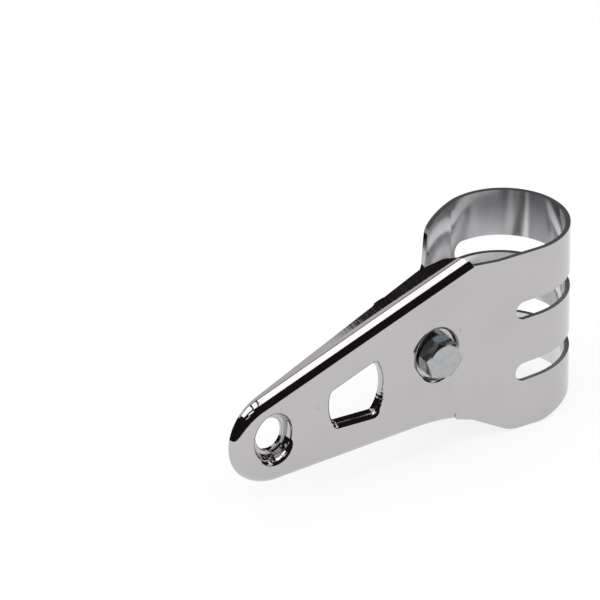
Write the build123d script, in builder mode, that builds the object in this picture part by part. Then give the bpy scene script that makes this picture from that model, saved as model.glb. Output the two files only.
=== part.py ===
from build123d import *
from math import asin, cos, degrees, radians, sin, tan
import os

# Headlight mounting bracket for a motorbike fork leg, one of a mirror-image pair.
# One chromed steel sheet makes the ear, the clamp band and the clamp lug. A zinc-plated M6 bolt
# with washer and nut closes the clamp.
# Millimetres. The clamp axis is +Z through the origin, Z = 0 is the lowest edge of the band,
# the ear points to -X and its outer face looks to -Y.

# Sheet and clamp band
sheet = 1.3
band_radius = 18.2
band_height = 54.0
join_angle = -31.5
skirt_left_reach = 8.1
skirt_left_z = 8.75
skirt_bend_reach = 3.0
skirt_bend_z = 7.15
skirt_corner_x = -8.8
skirt_foot_x = 1.5
skirt_rise = 0.24
skirt_bend_radius = 5.0
skirt_corner_radius = 10.0
skirt_foot_radius = 16.0
skirt_step_radius = 0.5
crest_x = -13.0
crest_height = 0.9
back_rise = 0.1

# Strip that leaves the ring behind and folds into the lug
strip_start_angle = 115.0
strip_flare = 2.47
strip_sweep = 22.0
lug_near_y = 2.5
lug_spare = 5.0
lug_bend_radius = 3.0
shoulder_reach = 3.0
shoulder_drop = 9.5
shoulder_radius = 2.5
lug_edge_lean = 0.8
lug_edge_radius = 3.0
lug_root_radius = 6.0
lug_root_reach = 6.4
lug_root_z = 8.2
lug_upper_reach = 19.8
lug_upper_z = 33.5
lug_lower_reach = 18.8
lug_lower_z = 18.5
lug_tip_reach = 24.2
lug_tip_z = 25.5

# Ear
ear_end_reach = 2.7
nose_reach = 64.7
nose_z = 19.7
nose_radius = 13.7
ear_top_angle = 20.7
ear_bottom_angle = 2.95
belly_reach = 19.8
belly_radius = 53.0
rim_radius = 4.0
rim_depth_nose = 2.9
rim_depth_band = 8.6
rim_deep_reach = 14.8
rim_end_depth = 6.6
rim_end_reach = 8.1
rim_slope_reach = 5.2
rim_slope_depth = 3.0
rim_end_corner_radius = 2.0
rim_slope_radius = 1.0
rim_deep_radius = 6.0
rim_nose_radius = 4.0
rim_tip_radius = 0.05

# Oval dimples pressed round the nose hole and the bolt hole
nose_hole_reach = 65.3
nose_hole_z = 20.2
hole_half_width = 4.1
hole_half_height = 4.85
hole_edge_radius = 0.4
nose_dimple_half_width = 6.0
nose_dimple_half_height = 7.5
nose_floor_half_width = 5.2
nose_floor_half_height = 6.1
nose_dimple_depth = 3.3
nose_edge_radius = 2.0
bolt_reach = 14.1
bolt_z = 30.7
bolt_dimple_half_width = 6.6
bolt_dimple_half_height = 7.9
bolt_floor_half_width = 6.2
bolt_floor_half_height = 7.4
bolt_dimple_depth = 1.6
bolt_edge_radius = 1.2

# Window in the ear and its lip
window_depth = 3.2
window_edge_radius = 2.0
window_corner_radius = 1.5
window_left_reach = 47.0
window_left_z = 28.65
window_left_bulge_reach = 47.5
window_left_bulge_z = 24.0
window_low_reach = 46.2
window_low_z = 18.8
window_foot_reach = 33.8
window_foot_z = 18.45
window_right_bulge_reach = 31.0
window_right_bulge_z = 26.6
window_peak_reach = 33.2
window_peak_z = 34.0

# Slots in the band
slot_height = 5.5
slot_front_end_x = -7.3
slot_back_end_x = -5.5
upper_slot_front_z = 36.3
upper_slot_side_z = 37.0
upper_slot_back_z = 37.5
lower_slot_front_z = 17.1
lower_slot_side_z = 18.5
lower_slot_back_z = 19.2

# Clamp bolt M6 x 25, washer and nut; the bolt's length follows from where it ends in the nut
bolt_radius = 3.0
bolt_end_in_nut = 3.0
bolt_end_chamfer = 0.6
head_flats = 10.0
head_height = 4.0
head_chamfer_radius = 4.7
head_chamfer_reach = 2.0
head_turn = -12.0
washer_radius = 6.0
washer_hole_radius = 3.2
washer_thickness = 1.6
nut_height = 5.0
nut_bore_radius = 3.03
nut_turn = 12.0
lug_hole_radius = 3.3

# Allowance by which a cutting outline passes the sheet
spare = 1.0

# Places that follow from the sizes; each reach is measured from the band's side towards the nose
skirt_left_x = -band_radius - skirt_left_reach
skirt_bend_x = -band_radius - skirt_bend_reach
shoulder_x = -band_radius - shoulder_reach
lug_root_x = -band_radius - lug_root_reach
lug_upper_x = -band_radius - lug_upper_reach
lug_lower_x = -band_radius - lug_lower_reach
lug_tip_x = -band_radius - lug_tip_reach
ear_end_x = -band_radius - ear_end_reach
nose_x = -band_radius - nose_reach
belly_x = -band_radius - belly_reach
rim_deep_x = -band_radius - rim_deep_reach
rim_end_x = -band_radius - rim_end_reach
rim_slope_x = -band_radius - rim_slope_reach
nose_hole_x = -band_radius - nose_hole_reach
bolt_x = -band_radius - bolt_reach
window_left_x = -band_radius - window_left_reach
window_left_bulge_x = -band_radius - window_left_bulge_reach
window_low_x = -band_radius - window_low_reach
window_foot_x = -band_radius - window_foot_reach
window_right_bulge_x = -band_radius - window_right_bulge_reach
window_peak_x = -band_radius - window_peak_reach
middle = band_radius - sheet / 2
face_y = -band_radius
inner_face_y = face_y + sheet
strip_radius = strip_flare * band_radius
lug_far_y = lug_near_y + sheet
lug_middle_y = lug_near_y + sheet / 2
join_x = band_radius * cos(radians(join_angle))
side_x = band_radius
beyond_x = band_radius + 4 * spare
beyond_y = band_radius + 4 * spare
skirt_end_z = skirt_rise * (beyond_x - skirt_foot_x)
join_z = skirt_rise * (join_x - skirt_foot_x)
nose_top_x = nose_x - nose_radius * sin(radians(ear_top_angle))
nose_top_z = nose_z + nose_radius * cos(radians(ear_top_angle))
ear_top_z = nose_top_z + (ear_end_x - nose_top_x) * tan(radians(ear_top_angle))
nose_foot_x = nose_x + nose_radius * sin(radians(ear_bottom_angle))
nose_foot_z = nose_z - nose_radius * cos(radians(ear_bottom_angle))
belly_z = nose_foot_z + (belly_x - nose_foot_x) * tan(radians(ear_bottom_angle))
belly_run = (ear_end_x - belly_x) / belly_radius - sin(radians(ear_bottom_angle))
belly_sweep = ear_bottom_angle + degrees(asin(belly_run))
belly_way = (cos(radians(ear_bottom_angle)), sin(radians(ear_bottom_angle)))
nose_sweep = 180 - ear_top_angle + ear_bottom_angle
tray_radius = nose_radius - sheet
tray_top_x = nose_x - tray_radius * sin(radians(ear_top_angle))
tray_top_z = nose_z + tray_radius * cos(radians(ear_top_angle))
tray_foot_x = nose_x + tray_radius * sin(radians(ear_bottom_angle))
tray_foot_z = nose_z - tray_radius * cos(radians(ear_bottom_angle))
tray_belly_x = belly_x - sheet * sin(radians(ear_bottom_angle))
tray_belly_z = belly_z + sheet * cos(radians(ear_bottom_angle))
wall_left_x = rim_end_x - 2 * spare
wall_top_z = ear_top_z - rim_radius / cos(radians(ear_top_angle))
wall_left_z = wall_top_z - (ear_end_x - wall_left_x) * tan(radians(ear_top_angle))
seat_y = face_y + bolt_dimple_depth
head_seat_y = seat_y - washer_thickness
bolt_end_y = lug_far_y + bolt_end_in_nut
bolt_axis = Axis((bolt_x, 0, bolt_z), (0, 1, 0))
ear_plane = Plane(origin=(0, face_y, 0), x_dir=(1, 0, 0), z_dir=(0, -1, 0))
inner_plane = ear_plane.offset(-sheet)
rim_reach = 2 * rim_depth_band
nose_place = (nose_hole_x, nose_hole_z)
nose_rim = (nose_dimple_half_width, nose_dimple_half_height)
nose_floor = (nose_floor_half_width, nose_floor_half_height)
bolt_place = (bolt_x, bolt_z)
bolt_rim = (bolt_dimple_half_width, bolt_dimple_half_height)
bolt_floor = (bolt_floor_half_width, bolt_floor_half_height)
window_middle_x = (window_left_x + window_foot_x) / 2
window_half_width = (window_foot_x - window_left_x) / 2 + window_corner_radius + spare
bolt_view_plane = Plane.XY.offset(bolt_z)
chamfer_fall = head_chamfer_reach * tan(radians(30))

# Front wall between the ear and the right-hand side of the ring
with BuildPart() as front_wall:
    with BuildSketch(Plane.XY):
        with BuildLine():
            Line((wall_left_x, -middle), (0, -middle))
            CenterArc((0, 0), middle, -90, 90 + join_angle)
        trace(line_width=sheet)
    extrude(amount=2 * band_height)
    with BuildSketch(Plane.XZ):
        with BuildLine():
            skirt = FilletPolyline(
                (wall_left_x, belly_z + rim_radius),
                (skirt_left_x, belly_z + rim_radius - spare),
                (skirt_left_x, skirt_left_z),
                (skirt_bend_x, skirt_bend_z),
                (skirt_corner_x, 0),
                (skirt_foot_x, 0),
                (beyond_x, skirt_end_z),
                radius=(skirt_step_radius, skirt_step_radius, skirt_bend_radius, skirt_corner_radius, skirt_foot_radius),
            )
            Polyline(
                skirt @ 1,
                (beyond_x, band_height),
                (crest_x, band_height),
                (ear_end_x, band_height + crest_height),
                (ear_end_x, wall_top_z),
                (wall_left_x, wall_left_z),
                skirt @ 0,
            )
        make_face()
    extrude(amount=beyond_y, both=True, mode=Mode.INTERSECT)

# Back of the ring, the strip and the lug
with BuildPart() as back_wall:
    with BuildSketch(Plane.XY):
        with BuildLine():
            back_arc = CenterArc(
                (0, 0), middle, join_angle, strip_start_angle - join_angle
            )
            strip_arc = JernArc(back_arc @ 1, back_arc % 1, strip_radius, strip_sweep)
            bend = strip_start_angle + strip_sweep - 90
            bend_drop = lug_bend_radius * (1 - cos(radians(bend)))
            fall = (strip_arc @ 1).Y - lug_middle_y - bend_drop
            strip_line = PolarLine(strip_arc @ 1, fall / sin(radians(bend)), 180 + bend)
            lug_bend = JernArc(strip_line @ 1, strip_line % 1, lug_bend_radius, -bend)
            Line(lug_bend @ 1, (lug_tip_x - lug_spare, lug_middle_y))
        trace(line_width=sheet)
    extrude(amount=2 * band_height)
    with BuildSketch(Plane.XZ):
        with BuildLine():
            crown = FilletPolyline(
                (beyond_x, band_height),
                (shoulder_x, band_height),
                (lug_root_x + lug_edge_lean, band_height - shoulder_drop),
                (lug_upper_x, lug_upper_z),
                radius=(shoulder_radius, lug_edge_radius),
            )
            tip = ThreePointArc(
                (lug_upper_x, lug_upper_z), (lug_tip_x, lug_tip_z), (lug_lower_x, lug_lower_z)
            )
            foot = FilletPolyline(
                (lug_lower_x, lug_lower_z),
                (lug_root_x, lug_root_z),
                (join_x, join_z),
                radius=lug_root_radius,
            )
            Polyline(
                foot @ 1,
                (beyond_x, join_z - back_rise),
                crown @ 0,
            )
        make_face()
    extrude(amount=beyond_y, both=True, mode=Mode.INTERSECT)

# Ear shell: pressed tray with a rolled rim, deeper towards the band
with BuildPart() as ear_shell:
    with BuildSketch(ear_plane):
        with BuildLine():
            CenterArc((nose_x, nose_z), nose_radius, 90 + ear_top_angle, nose_sweep)
            Line((nose_foot_x, nose_foot_z), (belly_x, belly_z))
            belly = JernArc((belly_x, belly_z), belly_way, belly_radius, -belly_sweep)
            Polyline(belly @ 1, (ear_end_x, ear_top_z), (nose_top_x, nose_top_z))
        make_face()
    extrude(amount=-rim_reach)
    outer_edges = faces().filter_by(lambda face: abs(face.center().Y - face_y) < 0.01).edges()
    fillet(outer_edges.filter_by(lambda edge: edge.center().X < rim_end_x), radius=rim_radius)
    with BuildSketch(inner_plane):
        with BuildLine():
            CenterArc((nose_x, nose_z), tray_radius, 90 + ear_top_angle, nose_sweep)
            Line((tray_foot_x, tray_foot_z), (tray_belly_x, tray_belly_z))
            tray_belly = JernArc(
                (tray_belly_x, tray_belly_z), belly_way, belly_radius + sheet, -belly_sweep
            )
            Polyline(
                tray_belly @ 1,
                (ear_end_x + spare, (tray_belly @ 1).Y),
                (ear_end_x + spare, ear_top_z - sheet / cos(radians(ear_top_angle))),
                (ear_end_x, ear_top_z - sheet / cos(radians(ear_top_angle))),
                (tray_top_x, tray_top_z),
            )
        make_face()
    hollow = extrude(amount=-rim_reach, mode=Mode.PRIVATE)
    hollow_edges = hollow.faces().filter_by(
        lambda face: abs(face.center().Y - inner_face_y) < 0.01
    ).edges()
    hollow = hollow.fillet(
        rim_radius - sheet, hollow_edges.filter_by(lambda edge: edge.center().X < rim_end_x)
    )
    add(hollow, mode=Mode.SUBTRACT)
    with BuildSketch(Plane.XY):
        with BuildLine():
            FilletPolyline(
                (nose_x - 2 * nose_radius, face_y - spare),
                (ear_end_x, face_y - spare),
                (ear_end_x, face_y + 2 * rim_tip_radius),
                (rim_slope_x, face_y + rim_slope_depth),
                (rim_end_x, face_y + rim_end_depth),
                (rim_deep_x, face_y + rim_depth_band),
                (nose_x - nose_radius, face_y + rim_depth_nose),
                (nose_x - 2 * nose_radius, face_y + rim_depth_nose),
                radius=(
                    rim_tip_radius,
                    rim_tip_radius,
                    rim_slope_radius,
                    rim_end_corner_radius,
                    rim_deep_radius,
                    rim_nose_radius,
                ),
            )
            Line(
                (nose_x - 2 * nose_radius, face_y + rim_depth_nose),
                (nose_x - 2 * nose_radius, face_y - spare),
            )
        make_face()
    extrude(amount=2 * band_height, mode=Mode.INTERSECT)

# The whole pressed sheet
with BuildPart() as bracket_body:
    add(ear_shell.part)
    add(front_wall.part)
    add(back_wall.part)

    # backs of the two dimples, then their hollows
    for place, rim, floor, depth in (
        (nose_place, nose_rim, nose_floor, nose_dimple_depth),
        (bolt_place, bolt_rim, bolt_floor, bolt_dimple_depth),
    ):
        with BuildSketch(inner_plane):
            with Locations(place):
                Ellipse(rim[0] + sheet, rim[1] + sheet)
        with BuildSketch(inner_plane.offset(-depth)):
            with Locations(place):
                Ellipse(floor[0] + sheet, floor[1] + sheet)
        loft()
        with BuildSketch(ear_plane):
            with Locations(place):
                Ellipse(*rim)
        with BuildSketch(ear_plane.offset(-depth)):
            with Locations(place):
                Ellipse(*floor)
        loft(mode=Mode.SUBTRACT)

    # window with its lip turned inwards
    with BuildSketch(ear_plane) as window:
        with BuildLine():
            ThreePointArc(
                (window_left_x, window_left_z),
                (window_left_bulge_x, window_left_bulge_z),
                (window_low_x, window_low_z),
            )
            Line((window_low_x, window_low_z), (window_foot_x, window_foot_z))
            ThreePointArc(
                (window_foot_x, window_foot_z),
                (window_right_bulge_x, window_right_bulge_z),
                (window_peak_x, window_peak_z),
            )
            Line((window_peak_x, window_peak_z), (window_left_x, window_left_z))
        make_face()
        fillet(vertices(), radius=window_corner_radius)
    window_face = window.sketch.face()
    with BuildSketch(ear_plane):
        add(window_face)
        offset(amount=sheet, kind=Kind.ARC)
    extrude(amount=-window_depth)
    extrude(window_face, amount=2 * window_depth, dir=(0, 1, 0), mode=Mode.SUBTRACT)

    # rolled edges: each opening in the ear's face gets its own radius
    for place, radius in (
        (nose_hole_x, nose_edge_radius),
        (window_middle_x, window_edge_radius),
        (bolt_x, bolt_edge_radius),
    ):
        ear_face = faces().filter_by(lambda face: abs(face.center().Y - face_y) < 0.01).sort_by(
            SortBy.AREA
        )[-1]
        rolled = ear_face.inner_wires().edges().filter_by(
            lambda edge: abs(edge.center().X - place) < window_half_width
        )
        fillet(rolled, radius=radius)

    # holes for the lamp bolt and the clamp bolt
    with BuildSketch(ear_plane):
        with Locations(nose_place, bolt_place):
            Ellipse(hole_half_width, hole_half_height)
    extrude(amount=-rim_reach, mode=Mode.SUBTRACT)
    nose_ring = faces().filter_by(
        lambda face: abs(face.center().Y - face_y - nose_dimple_depth) < 0.01
    )
    fillet(nose_ring.sort_by(Axis.X)[0].inner_wires().edges(), radius=hole_edge_radius)
    with BuildSketch(Plane.XZ.offset(spare - lug_near_y)):
        with Locations((bolt_x, bolt_z)):
            Circle(lug_hole_radius)
    extrude(amount=-sheet - 2 * spare, mode=Mode.SUBTRACT)

    # slots, cut from the front and from the back so that both runs meet at the side
    front_start = slot_front_end_x + slot_height / 2
    back_start = slot_back_end_x + slot_height / 2
    with BuildSketch(Plane.XZ):
        SlotCenterPoint((side_x, upper_slot_side_z), (front_start, upper_slot_front_z), slot_height)
        SlotCenterPoint((side_x, lower_slot_side_z), (front_start, lower_slot_front_z), slot_height)
    extrude(amount=beyond_y, mode=Mode.SUBTRACT)
    with BuildSketch(Plane.XZ):
        SlotCenterPoint((side_x, upper_slot_side_z), (back_start, upper_slot_back_z), slot_height)
        SlotCenterPoint((side_x, lower_slot_side_z), (back_start, lower_slot_back_z), slot_height)
    extrude(amount=-beyond_y, mode=Mode.SUBTRACT)

# Hexagon-head clamp bolt, seated through the washer on the floor of the dimple
with BuildPart() as clamp_bolt:
    with BuildSketch(Plane.XZ.offset(-head_seat_y)):
        with Locations((bolt_x, bolt_z)):
            RegularPolygon(head_flats / 2, 6, major_radius=False, rotation=head_turn)
    extrude(amount=head_height)
    with BuildSketch(bolt_view_plane):
        with BuildLine():
            Polyline(
                (bolt_x + head_chamfer_radius, head_seat_y - head_height),
                (bolt_x + head_chamfer_radius + head_chamfer_reach, head_seat_y - head_height),
                (bolt_x + head_chamfer_radius + head_chamfer_reach, head_seat_y - head_height + chamfer_fall),
                close=True,
            )
        make_face()
    revolve(axis=bolt_axis, mode=Mode.SUBTRACT)
    with BuildSketch(bolt_view_plane):
        with BuildLine():
            Polyline(
                (bolt_x, head_seat_y - spare),
                (bolt_x + bolt_radius, head_seat_y - spare),
                (bolt_x + bolt_radius, bolt_end_y - bolt_end_chamfer),
                (bolt_x + bolt_radius - bolt_end_chamfer, bolt_end_y),
                (bolt_x, bolt_end_y),
                close=True,
            )
        make_face()
    revolve(axis=bolt_axis)

# Plain washer under the head
with BuildPart() as clamp_washer:
    with BuildSketch(Plane.XZ.offset(-seat_y)):
        with Locations((bolt_x, bolt_z)):
            Circle(washer_radius)
            Circle(washer_hole_radius, mode=Mode.SUBTRACT)
    extrude(amount=washer_thickness)

# Hexagon nut on the far side of the lug
with BuildPart() as clamp_nut:
    with BuildSketch(Plane.XZ.offset(-lug_far_y - nut_height)):
        with Locations((bolt_x, bolt_z)):
            RegularPolygon(head_flats / 2, 6, major_radius=False, rotation=nut_turn)
            Circle(nut_bore_radius, mode=Mode.SUBTRACT)
    extrude(amount=nut_height)
    with BuildSketch(bolt_view_plane):
        with BuildLine():
            Polyline(
                (bolt_x + head_chamfer_radius, lug_far_y + nut_height),
                (bolt_x + head_chamfer_radius + head_chamfer_reach, lug_far_y + nut_height),
                (bolt_x + head_chamfer_radius + head_chamfer_reach, lug_far_y + nut_height - chamfer_fall),
                close=True,
            )
        make_face()
    revolve(axis=bolt_axis, mode=Mode.SUBTRACT)

bracket_body.part.label = "bracket_body"
clamp_bolt.part.label = "clamp_bolt"
clamp_washer.part.label = "clamp_washer"
clamp_nut.part.label = "clamp_nut"

os.makedirs("parts", exist_ok=True)
export_step(bracket_body.part, "parts/bracket_body.step")
export_step(clamp_bolt.part, "parts/clamp_bolt.step")
export_step(clamp_washer.part, "parts/clamp_washer.step")
export_step(clamp_nut.part, "parts/clamp_nut.step")
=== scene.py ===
import math

import bmesh
import bpy
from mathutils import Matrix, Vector


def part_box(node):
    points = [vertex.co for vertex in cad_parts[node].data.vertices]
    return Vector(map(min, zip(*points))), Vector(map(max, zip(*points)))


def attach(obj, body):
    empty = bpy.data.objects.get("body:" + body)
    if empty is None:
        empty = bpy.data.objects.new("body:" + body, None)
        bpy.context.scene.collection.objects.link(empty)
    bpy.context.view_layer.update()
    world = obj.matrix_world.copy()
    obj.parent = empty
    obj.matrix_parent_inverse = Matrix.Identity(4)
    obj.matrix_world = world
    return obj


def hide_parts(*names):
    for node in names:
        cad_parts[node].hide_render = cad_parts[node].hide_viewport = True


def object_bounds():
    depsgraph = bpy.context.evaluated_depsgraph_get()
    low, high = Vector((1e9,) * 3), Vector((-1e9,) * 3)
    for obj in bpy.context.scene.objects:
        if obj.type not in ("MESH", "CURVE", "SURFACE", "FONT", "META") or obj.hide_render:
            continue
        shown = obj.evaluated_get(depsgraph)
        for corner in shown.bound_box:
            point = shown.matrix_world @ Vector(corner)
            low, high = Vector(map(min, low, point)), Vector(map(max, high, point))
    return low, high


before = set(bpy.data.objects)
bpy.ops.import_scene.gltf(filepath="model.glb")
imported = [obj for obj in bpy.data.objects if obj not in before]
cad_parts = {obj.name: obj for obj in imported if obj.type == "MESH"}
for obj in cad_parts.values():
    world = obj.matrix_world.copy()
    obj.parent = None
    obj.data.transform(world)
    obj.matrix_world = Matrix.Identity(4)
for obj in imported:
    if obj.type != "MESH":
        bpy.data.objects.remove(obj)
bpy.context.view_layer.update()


# Headlight bracket body: one mild-steel sheet, pressed, rolled round the fork leg and folded back
# into the clamp lug, then polished and chrome plated. Only the outside was buffed to a mirror: the
# inside of the band keeps the drawn sheet's upright streaks. Its colour is painted lighter than the
# outside as painted light, and darker towards the top edge as painted shade.

# Handling marks, a group for every metal here: soft smudges and a few small specks, both given as
# factors, so that each material decides how much duller they make it.
marks = bpy.data.node_groups.new("handling_marks", "ShaderNodeTree")
for name, kind, value in (("Scale", "NodeSocketFloat", 60.0), ("Speck Amount", "NodeSocketFloat", 0.5)):
    socket = marks.interface.new_socket(name=name, in_out="INPUT", socket_type=kind)
    socket.default_value = value
for name in ("Smudge", "Speck"):
    marks.interface.new_socket(name=name, in_out="OUTPUT", socket_type="NodeSocketFloat")
nodes = marks.nodes
links = marks.links
given = nodes.new("NodeGroupInput")
result = nodes.new("NodeGroupOutput")
place = nodes.new("ShaderNodeTexCoord")
cloud = nodes.new("ShaderNodeTexNoise")
cloud.inputs["Detail"].default_value = 5.0
links.new(place.outputs["Object"], cloud.inputs["Vector"])
links.new(given.outputs["Scale"], cloud.inputs["Scale"])
soften = nodes.new("ShaderNodeMapRange")
soften.interpolation_type = "SMOOTHSTEP"
soften.inputs["From Min"].default_value = 0.42
soften.inputs["From Max"].default_value = 0.72
links.new(cloud.outputs["Fac"], soften.inputs["Value"])
links.new(soften.outputs["Result"], result.inputs["Smudge"])
cells = nodes.new("ShaderNodeTexVoronoi")
cells.inputs["Scale"].default_value = 160.0
links.new(place.outputs["Object"], cells.inputs["Vector"])
dot = nodes.new("ShaderNodeMapRange")
dot.interpolation_type = "SMOOTHSTEP"
dot.inputs["From Min"].default_value = 0.085
dot.inputs["From Max"].default_value = 0.055
links.new(cells.outputs["Distance"], dot.inputs["Value"])
rare = nodes.new("ShaderNodeMath")
rare.operation = "GREATER_THAN"
rare.inputs[1].default_value = 0.62
pick = nodes.new("ShaderNodeSeparateXYZ")
links.new(cells.outputs["Color"], pick.inputs["Vector"])
links.new(pick.outputs["X"], rare.inputs[0])
kept = nodes.new("ShaderNodeMath")
kept.operation = "MULTIPLY"
links.new(dot.outputs["Result"], kept.inputs[0])
links.new(rare.outputs["Value"], kept.inputs[1])
speck = nodes.new("ShaderNodeMath")
speck.operation = "MULTIPLY"
links.new(kept.outputs["Value"], speck.inputs[0])
links.new(given.outputs["Speck Amount"], speck.inputs[1])
links.new(speck.outputs["Value"], result.inputs["Speck"])

# Polished chrome, with the band's inside told from the outside by which way the sheet faces there.
chrome = bpy.data.materials.new("polished_chrome")
chrome.use_nodes = True
nodes = chrome.node_tree.nodes
links = chrome.node_tree.links
nodes.clear()
output = nodes.new("ShaderNodeOutputMaterial")
plate = nodes.new("ShaderNodeBsdfPrincipled")
plate.inputs["Metallic"].default_value = 1.0
links.new(plate.outputs["BSDF"], output.inputs["Surface"])
place = nodes.new("ShaderNodeTexCoord")
shape = nodes.new("ShaderNodeNewGeometry")

level = nodes.new("ShaderNodeVectorMath")
level.operation = "MULTIPLY"
level.inputs[1].default_value = (1.0, 1.0, 0.0)
links.new(place.outputs["Object"], level.inputs[0])
facing = nodes.new("ShaderNodeVectorMath")
facing.operation = "DOT_PRODUCT"
links.new(level.outputs["Vector"], facing.inputs[0])
links.new(shape.outputs["Normal"], facing.inputs[1])
inward = nodes.new("ShaderNodeMath")
inward.operation = "LESS_THAN"
inward.inputs[1].default_value = -0.002
links.new(facing.outputs["Value"], inward.inputs[0])
along = nodes.new("ShaderNodeSeparateXYZ")
links.new(place.outputs["Object"], along.inputs["Vector"])
beside = nodes.new("ShaderNodeMapRange")
beside.interpolation_type = "SMOOTHSTEP"
beside.inputs["From Min"].default_value = -0.028
beside.inputs["From Max"].default_value = -0.019
links.new(along.outputs["X"], beside.inputs["Value"])
inside = nodes.new("ShaderNodeMath")
inside.operation = "MULTIPLY"
links.new(inward.outputs["Value"], inside.inputs[0])
links.new(beside.outputs["Result"], inside.inputs[1])

upright = nodes.new("ShaderNodeVectorMath")
upright.operation = "MULTIPLY"
upright.inputs[1].default_value = (1.0, 1.0, 0.05)
links.new(place.outputs["Object"], upright.inputs[0])
streaks = nodes.new("ShaderNodeTexNoise")
streaks.inputs["Scale"].default_value = 420.0
streaks.inputs["Detail"].default_value = 4.0
links.new(upright.outputs["Vector"], streaks.inputs["Vector"])

wear = nodes.new("ShaderNodeGroup")
wear.node_tree = marks
wear.inputs["Scale"].default_value = 55.0
wear.inputs["Speck Amount"].default_value = 0.55

# Painted light and shade on the band's inside: a lighter colour stands in for the light the inside
# catches, and it darkens towards the top edge as painted shade.
painted_shade_to_top = nodes.new("ShaderNodeMapRange")
painted_shade_to_top.interpolation_type = "SMOOTHSTEP"
painted_shade_to_top.inputs["From Min"].default_value = 0.0425
painted_shade_to_top.inputs["From Max"].default_value = 0.053
links.new(along.outputs["Z"], painted_shade_to_top.inputs["Value"])
inside_painted_light_shade = nodes.new("ShaderNodeMix")
inside_painted_light_shade.data_type = "RGBA"
inside_painted_light_shade.inputs["A"].default_value = (0.665, 0.668, 0.68, 1.0)
inside_painted_light_shade.inputs["B"].default_value = (0.32, 0.322, 0.332, 1.0)
links.new(painted_shade_to_top.outputs["Result"], inside_painted_light_shade.inputs["Factor"])
handled = nodes.new("ShaderNodeMix")
handled.data_type = "RGBA"
handled.inputs["A"].default_value = (0.497, 0.484, 0.486, 1.0)
handled.inputs["B"].default_value = (0.476, 0.463, 0.468, 1.0)
links.new(wear.outputs["Smudge"], handled.inputs["Factor"])
tint = nodes.new("ShaderNodeMix")
tint.data_type = "RGBA"
links.new(handled.outputs["Result"], tint.inputs["A"])
links.new(inside_painted_light_shade.outputs["Result"], tint.inputs["B"])
links.new(inside.outputs["Value"], tint.inputs["Factor"])
spotted = nodes.new("ShaderNodeMix")
spotted.data_type = "RGBA"
spotted.inputs["B"].default_value = (0.30, 0.29, 0.28, 1.0)
links.new(wear.outputs["Speck"], spotted.inputs["Factor"])
links.new(tint.outputs["Result"], spotted.inputs["A"])
links.new(spotted.outputs["Result"], plate.inputs["Base Color"])

buffed = nodes.new("ShaderNodeMapRange")
buffed.inputs["To Min"].default_value = 0.05
buffed.inputs["To Max"].default_value = 0.085
links.new(wear.outputs["Smudge"], buffed.inputs["Value"])
drawn = nodes.new("ShaderNodeMapRange")
drawn.inputs["From Min"].default_value = 0.3
drawn.inputs["From Max"].default_value = 0.7
drawn.inputs["To Min"].default_value = 0.10
drawn.inputs["To Max"].default_value = 0.20
links.new(streaks.outputs["Fac"], drawn.inputs["Value"])
gloss = nodes.new("ShaderNodeMix")
gloss.data_type = "FLOAT"
links.new(inside.outputs["Value"], gloss.inputs["Factor"])
links.new(buffed.outputs["Result"], gloss.inputs["A"])
links.new(drawn.outputs["Result"], gloss.inputs["B"])

# The sheet's sheared edges, which face up or down round the band and on the strip to the lug, are
# plated like the rest but never buffed.
toward = nodes.new("ShaderNodeSeparateXYZ")
links.new(shape.outputs["Normal"], toward.inputs["Vector"])
steep = nodes.new("ShaderNodeMath")
steep.operation = "ABSOLUTE"
links.new(toward.outputs["Z"], steep.inputs[0])
level_edge = nodes.new("ShaderNodeMath")
level_edge.operation = "GREATER_THAN"
level_edge.inputs[1].default_value = 0.7
links.new(steep.outputs["Value"], level_edge.inputs[0])
on_band = nodes.new("ShaderNodeMath")
on_band.operation = "GREATER_THAN"
on_band.inputs[1].default_value = -0.0225
links.new(along.outputs["X"], on_band.inputs[0])
behind = nodes.new("ShaderNodeMath")
behind.operation = "GREATER_THAN"
behind.inputs[1].default_value = -0.004
links.new(along.outputs["Y"], behind.inputs[0])
off_ear = nodes.new("ShaderNodeMath")
off_ear.operation = "MAXIMUM"
links.new(on_band.outputs["Value"], off_ear.inputs[0])
links.new(behind.outputs["Value"], off_ear.inputs[1])
sheared = nodes.new("ShaderNodeMath")
sheared.operation = "MULTIPLY"
links.new(level_edge.outputs["Value"], sheared.inputs[0])
links.new(off_ear.outputs["Value"], sheared.inputs[1])
all_gloss = nodes.new("ShaderNodeMix")
all_gloss.data_type = "FLOAT"
all_gloss.inputs["B"].default_value = 0.5
links.new(gloss.outputs["Result"], all_gloss.inputs["A"])
links.new(sheared.outputs["Value"], all_gloss.inputs["Factor"])
links.new(all_gloss.outputs["Result"], plate.inputs["Roughness"])

# Draw lines that the press leaves across the deep part of the rim, and puckers in the window's lip.
on_top = nodes.new("ShaderNodeMapRange")
on_top.inputs["From Min"].default_value = 0.80
on_top.inputs["From Max"].default_value = 0.90
links.new(toward.outputs["Z"], on_top.inputs["Value"])
by_band = nodes.new("ShaderNodeMapRange")
by_band.inputs["From Min"].default_value = -0.066
by_band.inputs["From Max"].default_value = -0.050
links.new(along.outputs["X"], by_band.inputs["Value"])
rim_lines = nodes.new("ShaderNodeMath")
rim_lines.operation = "MULTIPLY"
links.new(on_top.outputs["Result"], rim_lines.inputs[0])
links.new(by_band.outputs["Result"], rim_lines.inputs[1])

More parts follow.
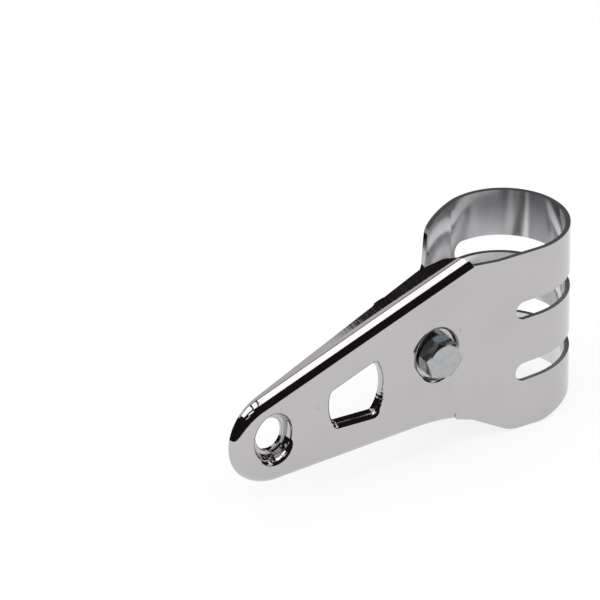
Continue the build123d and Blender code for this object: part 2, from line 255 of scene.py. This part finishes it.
lip_centre = (-0.0497, -0.0162, 0.0215)
lip_reach = (0.0040, 0.0018, 0.0050)
from_lip = nodes.new("ShaderNodeVectorMath")
from_lip.operation = "SUBTRACT"
from_lip.inputs[1].default_value = lip_centre
links.new(place.outputs["Object"], from_lip.inputs[0])
scaled = nodes.new("ShaderNodeVectorMath")
scaled.operation = "DIVIDE"
scaled.inputs[1].default_value = lip_reach
links.new(from_lip.outputs["Vector"], scaled.inputs[0])
away = nodes.new("ShaderNodeVectorMath")
away.operation = "LENGTH"
links.new(scaled.outputs["Vector"], away.inputs[0])
on_lip = nodes.new("ShaderNodeMapRange")
on_lip.inputs["From Min"].default_value = 1.1
on_lip.inputs["From Max"].default_value = 0.8
links.new(away.outputs["Value"], on_lip.inputs["Value"])
faint = nodes.new("ShaderNodeMath")
faint.operation = "MULTIPLY"
faint.inputs[1].default_value = 0.07
links.new(rim_lines.outputs["Value"], faint.inputs[0])
worked = nodes.new("ShaderNodeMath")
worked.operation = "MAXIMUM"
links.new(faint.outputs["Value"], worked.inputs[0])
links.new(on_lip.outputs["Result"], worked.inputs[1])

across = nodes.new("ShaderNodeVectorMath")
across.operation = "MULTIPLY"
across.inputs[1].default_value = (1.0, 0.15, 1.0)
links.new(place.outputs["Object"], across.inputs[0])
ridges = nodes.new("ShaderNodeTexNoise")
ridges.inputs["Scale"].default_value = 1100.0
ridges.inputs["Detail"].default_value = 2.0
links.new(across.outputs["Vector"], ridges.inputs["Vector"])
height = nodes.new("ShaderNodeMath")
height.operation = "MULTIPLY"
links.new(ridges.outputs["Fac"], height.inputs[0])
links.new(worked.outputs["Value"], height.inputs[1])
relief = nodes.new("ShaderNodeBump")
relief.inputs["Strength"].default_value = 1.0
relief.inputs["Distance"].default_value = 0.00012
links.new(height.outputs["Value"], relief.inputs["Height"])
links.new(relief.outputs["Normal"], plate.inputs["Normal"])

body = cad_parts["bracket_body"]
body.data.materials.clear()
body.data.materials.append(chrome)


# Clamp bolt, washer and nut: cold-headed steel fasteners, bright zinc plated with a faint blue
# cast, so they are duller than the chrome round them.
zinc = bpy.data.materials.new("bright_zinc")
zinc.use_nodes = True
nodes = zinc.node_tree.nodes
links = zinc.node_tree.links
nodes.clear()
output = nodes.new("ShaderNodeOutputMaterial")
plate = nodes.new("ShaderNodeBsdfPrincipled")
plate.inputs["Metallic"].default_value = 1.0
links.new(plate.outputs["BSDF"], output.inputs["Surface"])
wear = nodes.new("ShaderNodeGroup")
wear.node_tree = marks
wear.inputs["Scale"].default_value = 500.0
wear.inputs["Speck Amount"].default_value = 0.0
cast = nodes.new("ShaderNodeMix")
cast.data_type = "RGBA"
cast.inputs["A"].default_value = (0.43, 0.44, 0.45, 1.0)
cast.inputs["B"].default_value = (0.38, 0.39, 0.40, 1.0)
links.new(wear.outputs["Smudge"], cast.inputs["Factor"])
links.new(cast.outputs["Result"], plate.inputs["Base Color"])
dull = nodes.new("ShaderNodeMapRange")
dull.inputs["To Min"].default_value = 0.20
dull.inputs["To Max"].default_value = 0.27
links.new(wear.outputs["Smudge"], dull.inputs["Value"])
links.new(dull.outputs["Result"], plate.inputs["Roughness"])

for name in ("clamp_bolt", "clamp_washer", "clamp_nut"):
    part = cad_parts[name]
    part.data.materials.clear()
    part.data.materials.append(zinc)

# The rolled M6 thread: the bolt's node is replaced by the same head on a threaded shank, and the nut's
# bore gets its own thread where the bolt's end leaves it open.
pitch = 0.001
thread_depth = 0.0005
shank_radius = 0.003
head_height = 0.004
end_chamfer = 0.0006
kept_under_head = 0.0001
start_in_head = 0.0002
bore_wall = 0.0001
bore_mouth = 0.0003
thread_sides = 48
rings_per_turn = 8
smooth_below = math.radians(25.0)
low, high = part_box("clamp_bolt")
axis_x = (low[0] + high[0]) / 2
axis_z = (low[2] + high[2]) / 2
seat_y = low[1] + head_height
bolt_end_y = high[1]
thread_start_y = bolt_end_y - pitch
thread_end_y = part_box("clamp_nut")[1][1] - bore_mouth


def round_axis(mesh, side, radius, y):
    angle = 2.0 * math.pi * side / thread_sides
    return mesh.verts.new((axis_x + radius * math.cos(angle), y, axis_z + radius * math.sin(angle)))


def thread_rings(mesh, start, end, crest, sign):
    rings = []
    count = round((end - start) / pitch * rings_per_turn)
    for step in range(count + 1):
        y = start + (end - start) * step / count
        ring = []
        for side in range(thread_sides):
            phase = (y / pitch - side / thread_sides) % 1.0
            cut = thread_depth * abs(2.0 * phase - 1.0)
            radius = crest - sign * cut
            if sign > 0:
                radius = min(radius, crest - end_chamfer + (end - y))
            ring.append(round_axis(mesh, side, radius, y))
        rings.append(ring)
    return rings


def skin(mesh, rings):
    for first, second in zip(rings, rings[1:]):
        for side in range(thread_sides):
            after = (side + 1) % thread_sides
            mesh.faces.new((first[side], first[after], second[after], second[side]))


def finished(mesh, name):
    bmesh.ops.recalc_face_normals(mesh, faces=mesh.faces)
    data = bpy.data.meshes.new(name)
    mesh.to_mesh(data)
    mesh.free()
    piece = bpy.data.objects.new(name, data)
    bpy.context.collection.objects.link(piece)
    bpy.ops.object.select_all(action="DESELECT")
    piece.select_set(True)
    bpy.context.view_layer.objects.active = piece
    bpy.ops.object.shade_smooth_by_angle(angle=smooth_below)
    data.materials.append(zinc)
    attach(piece, "root")
    return piece


bolt_mesh = bmesh.new()
bolt_mesh.from_mesh(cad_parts["clamp_bolt"].data)
shank = [vert for vert in bolt_mesh.verts if vert.co.y > seat_y + kept_under_head]
bmesh.ops.delete(bolt_mesh, geom=shank, context="VERTS")
rings = thread_rings(bolt_mesh, seat_y - start_in_head, bolt_end_y, shank_radius, 1.0)
skin(bolt_mesh, rings)
bolt_mesh.faces.new(rings[0])
bolt_mesh.faces.new(rings[-1])
threaded_bolt = finished(bolt_mesh, "threaded_bolt")
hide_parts("clamp_bolt")

bore_mesh = bmesh.new()
rings = thread_rings(bore_mesh, thread_start_y, thread_end_y, shank_radius - thread_depth, -1.0)
skin(bore_mesh, rings)
backing = []
for y in (thread_start_y, thread_end_y):
    ring = [round_axis(bore_mesh, side, shank_radius + bore_wall, y) for side in range(thread_sides)]
    backing.append(ring)
skin(bore_mesh, [rings[0], backing[0], backing[1], rings[-1]])
nut_thread = finished(bore_mesh, "nut_thread")


# Plain pale floor under the bracket, a staging surface only. The camera and the metal see it close
# to white, while it keeps part of the shadow.
floor_gap = 0.0005
floor_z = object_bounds()[0][2]


def background_rays(nodes, links):
    way = nodes.new("ShaderNodeLightPath")
    seen = nodes.new("ShaderNodeMath")
    seen.operation = "ADD"
    links.new(way.outputs["Is Camera Ray"], seen.inputs[0])
    links.new(way.outputs["Is Glossy Ray"], seen.inputs[1])
    seen_too = nodes.new("ShaderNodeMath")
    seen_too.operation = "ADD"
    seen_too.use_clamp = True
    links.new(seen.outputs["Value"], seen_too.inputs[0])
    links.new(way.outputs["Is Transmission Ray"], seen_too.inputs[1])
    return seen_too.outputs["Value"]


bpy.ops.mesh.primitive_plane_add(size=6.0, location=(0.0, 0.0, floor_z - floor_gap))
floor = bpy.context.object
floor.name = "floor"
paper = bpy.data.materials.new("pale_floor")
paper.use_nodes = True
nodes = paper.node_tree.nodes
links = paper.node_tree.links
nodes.clear()
output = nodes.new("ShaderNodeOutputMaterial")
matt = nodes.new("ShaderNodeBsdfDiffuse")
matt.inputs["Color"].default_value = (0.9, 0.9, 0.9, 1.0)
glow = nodes.new("ShaderNodeEmission")
glow.inputs["Color"].default_value = (1.0, 1.0, 1.0, 1.0)
glow.inputs["Strength"].default_value = 1.0
share = nodes.new("ShaderNodeMath")
share.operation = "MULTIPLY"
share.inputs[1].default_value = 0.8
links.new(background_rays(nodes, links), share.inputs[0])
blend = nodes.new("ShaderNodeMixShader")
links.new(share.outputs["Value"], blend.inputs["Fac"])
links.new(matt.outputs["BSDF"], blend.inputs[1])
links.new(glow.outputs["Emission"], blend.inputs[2])
links.new(blend.outputs["Shader"], output.inputs["Surface"])
floor.data.materials.append(paper)


# Black cards round the set, seen only in the polished metal: a sheet with a hole that lies round
# the object, four walls and a lid. They give the chrome its black bands.
inner = ((-0.19, -0.45), (0.50, -0.45), (0.50, 0.50), (-0.19, 0.50))
outer = ((-1.0, -1.0), (1.0, -1.0), (1.0, 1.0), (-1.0, 1.0))
card_z = floor_z + floor_gap
lid_z = 0.66
card_corners = [(x, y, card_z) for x, y in inner] + [(x, y, card_z) for x, y in outer]
card_corners += [(x, y, lid_z) for x, y in outer]
card_faces = [(i, (i + 1) % 4, (i + 1) % 4 + 4, i + 4) for i in range(4)]
card_faces += [(i + 4, (i + 1) % 4 + 4, (i + 1) % 4 + 8, i + 8) for i in range(4)]
card_faces += [(8, 9, 10, 11)]
card_mesh = bpy.data.meshes.new("black_cards")
card_mesh.from_pydata(card_corners, [], card_faces)
cards = bpy.data.objects.new("black_cards", card_mesh)
bpy.context.collection.objects.link(cards)
velvet = bpy.data.materials.new("black_card")
velvet.use_nodes = True
nodes = velvet.node_tree.nodes
links = velvet.node_tree.links
nodes.clear()
output = nodes.new("ShaderNodeOutputMaterial")
dark = nodes.new("ShaderNodeEmission")
dark.inputs["Color"].default_value = (0.016, 0.0115, 0.0115, 1.0)
links.new(dark.outputs["Emission"], output.inputs["Surface"])
card_mesh.materials.append(velvet)
cards.visible_camera = False
cards.visible_diffuse = False
cards.visible_shadow = False


# Camera: long lens, looking down on the ear's outer face from the nose side, as in the photograph.
turn = math.radians(31.5)
lift = math.radians(30.0)
distance = 3.0
frame_width = 0.16216
aim = Vector((-0.0549, 0.0159, 0.0379))
toward = Vector((-math.sin(turn) * math.cos(lift), -math.cos(turn) * math.cos(lift), math.sin(lift)))
bpy.ops.object.camera_add(location=aim + toward * distance)
camera = bpy.context.object
camera.rotation_euler = (-toward).to_track_quat("-Z", "Y").to_euler()
camera.data.sensor_width = 36.0
camera.data.lens = camera.data.sensor_width * distance / frame_width
bpy.context.scene.camera = camera


# Soft studio light: level boxes over the set, each given by its left, front, right and rear edges
# and by how bright it looks. Small lamps beside the main box break the ends of its reflection, a box
# on edge lights the bolt's flats, and the metal doesn't see the wide fill.
box_height = 0.62


def softbox(name, left, front, right, rear, brightness, color=(1.0, 1.0, 1.0)):
    light = bpy.data.lights.new(name, "AREA")
    light.shape = "RECTANGLE"
    light.size = right - left
    light.size_y = rear - front
    light.energy = brightness * math.pi * light.size * light.size_y
    light.color = color
    holder = bpy.data.objects.new(name, light)
    bpy.context.collection.objects.link(holder)
    holder.location = ((left + right) / 2, (front + rear) / 2, box_height)
    holder.visible_camera = False
    return holder


softbox("main_box", -0.18, -0.45, 0.05, 0.076, 2.0)
softbox("grey_box", -0.95, 0.14, -0.05, 0.80, 0.78)
softbox("side_box", 0.60, -0.90, 0.95, 0.45, 1.4)
warm = (1.0, 0.93, 0.80)
softbox("left_lamp_1", -0.32, -0.42, -0.205, 0.06, 2.2)
softbox("left_lamp_2", -0.80, -0.32, -0.36, 0.10, 2.2)
softbox("left_lamp_3", -0.58, -0.68, -0.35, -0.50, 2.2, warm)
softbox("left_lamp_4", -0.84, -0.92, -0.58, -0.78, 1.4, warm)
softbox("right_lamp_1", 0.15, -0.42, 0.18, -0.25, 2.6)
softbox("right_lamp_2", 0.24, -0.34, 0.26, -0.14, 2.6, warm)
softbox("right_lamp_3", 0.33, -0.22, 0.36, -0.02, 2.6)
daylight = softbox("daylight", -0.09, -0.10, 0.09, 0.10, 1.1, (0.80, 0.92, 1.0))
daylight.location = (0.40, -0.50, 0.20)
daylight.rotation_euler = (-daylight.location).to_track_quat("-Z", "Y").to_euler()
fill = softbox("fill", -0.9, -0.9, 0.9, 0.9, 1.05)
fill.visible_glossy = False

# White world behind the floor's edge, far dimmer as a light than it looks.
world = bpy.data.worlds.new("studio")
bpy.context.scene.world = world
world.use_nodes = True
nodes = world.node_tree.nodes
links = world.node_tree.links
nodes["Background"].inputs["Color"].default_value = (1.0, 1.0, 1.0, 1.0)
strength = nodes.new("ShaderNodeMapRange")
strength.inputs["To Min"].default_value = 0.25
strength.inputs["To Max"].default_value = 1.0
links.new(background_rays(nodes, links), strength.inputs["Value"])
links.new(strength.outputs["Result"], nodes["Background"].inputs["Strength"])

bpy.context.scene.view_settings.view_transform = "Standard"
